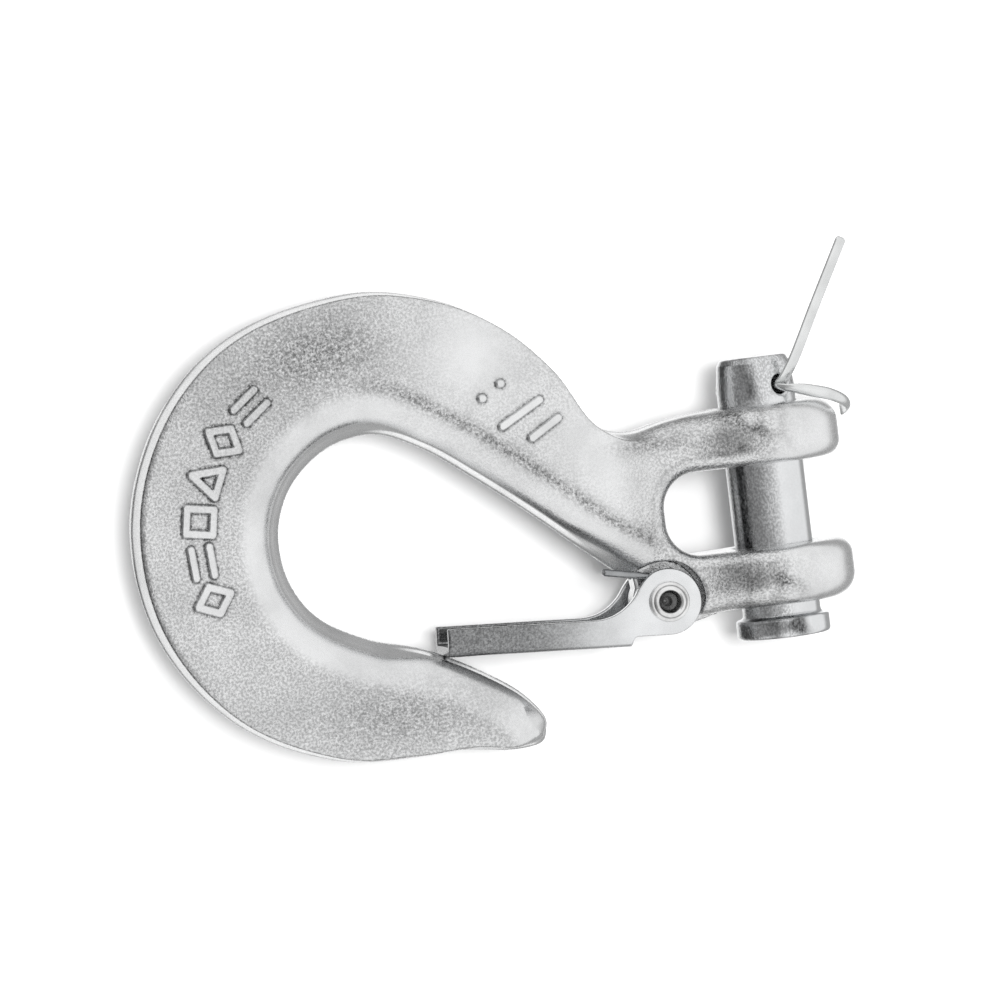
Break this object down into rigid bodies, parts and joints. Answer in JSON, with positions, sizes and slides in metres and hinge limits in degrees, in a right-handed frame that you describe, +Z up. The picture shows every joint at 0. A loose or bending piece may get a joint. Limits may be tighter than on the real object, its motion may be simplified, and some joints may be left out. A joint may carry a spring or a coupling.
{
  "type": "clevis slip hook",
  "caption": "Forged clevis slip hook with a sprung safety latch across its throat, and a headed clevis pin held by a cotter pin.",
  "frame": {"origin": "middle of the footprint, on the ground plane the hook lies on", "axes": "+X along the shank from the bowl towards the clevis, +Y along the clevis pin towards its cotter end, +Z up, square to the hook's flat side"},
  "size_m": [0.0896, 0.0566, 0.0188],
  "materials": {
    "zinc_forging": "bright zinc plate over a blasted drop forging, fine matt grain",
    "zinc_bar": "bright zinc plate on turned bar",
    "zinc_wire": "bright zinc plate on drawn half-round wire",
    "zinc_sheet": "bright zinc plate on pressed sheet, satin",
    "zinc_rivet": "bright zinc plate, rolled rim",
    "spring_wire": "dark drawn spring wire, lightly oiled"
  },
  "bodies": {
    "hook": {"hook_body": "zinc_forging", "latch_spring": "spring_wire"},
    "latch": {"safety_latch": "zinc_sheet", "latch_rivet": "zinc_rivet"},
    "pin": {"clevis_pin": "zinc_bar", "cotter_pin": "zinc_wire"}
  },
  "joints": [
    {"name": "latch_hinge", "type": "hinge", "parent": "hook", "child": "latch", "pos_m": [0.01813, -0.01295, 0.0094], "axis": [0, 0, -1], "range_deg": [0, 40], "stiffness_Nm_per_rad": 0.03, "springref_deg": -20.05, "deforming": ["latch_spring"]},
    {"name": "clevis_pin_turn", "type": "hinge", "parent": "hook", "child": "pin", "pos_m": [0.03293, -0.00296, 0.0094], "axis": [0, 1, 0], "range_deg": [-100, 100]}
  ]
}
